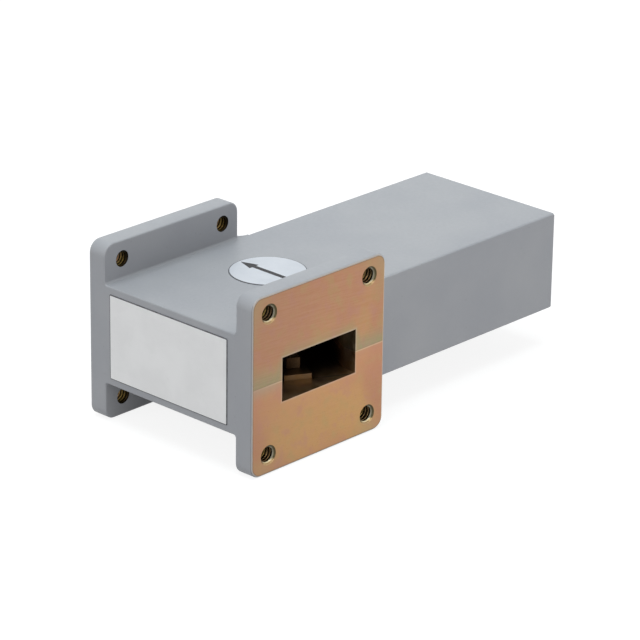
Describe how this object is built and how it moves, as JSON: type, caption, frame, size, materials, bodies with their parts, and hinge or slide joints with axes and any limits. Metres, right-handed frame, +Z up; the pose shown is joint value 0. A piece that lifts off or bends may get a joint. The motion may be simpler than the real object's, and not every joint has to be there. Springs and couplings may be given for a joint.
{
  "type": "waveguide isolator",
  "caption": "Ferrite junction isolator in rectangular guide: square tapped flanges on a short split body, one long closed arm with the built-in load.",
  "frame": {"origin": "centre of the guide opening in the input flange's face", "axes": "+X out of the input port along the ports' axis, +Y along the load arm, +Z up through the guide's wide walls"},
  "size_m": [0.05, 0.1053, 0.0414],
  "materials": {
    "body_paint": "matte",
    "ferrite": "satin",
    "dielectric": "matte",
    "plated_steel": "satin",
    "magnet": "satin",
    "painted_steel": "matte",
    "absorber": "matte",
    "label_film": "satin"
  },
  "bodies": {
    "root": {"upper_half": "body_paint", "lower_half": "body_paint", "upper_ferrite": "ferrite", "lower_ferrite": "ferrite", "ferrite_spacer": "dielectric", "upper_pole_disc": "plated_steel", "lower_pole_disc": "plated_steel", "upper_magnet": "magnet", "lower_magnet": "magnet", "upper_pocket_cover": "painted_steel", "lower_pocket_cover": "painted_steel", "upper_absorber": "absorber", "lower_absorber": "absorber", "assembly_screws": "painted_steel", "dowel_pins": "plated_steel", "side_label": "label_film", "arrow_label": "label_film"}
  },
  "joints": []
}
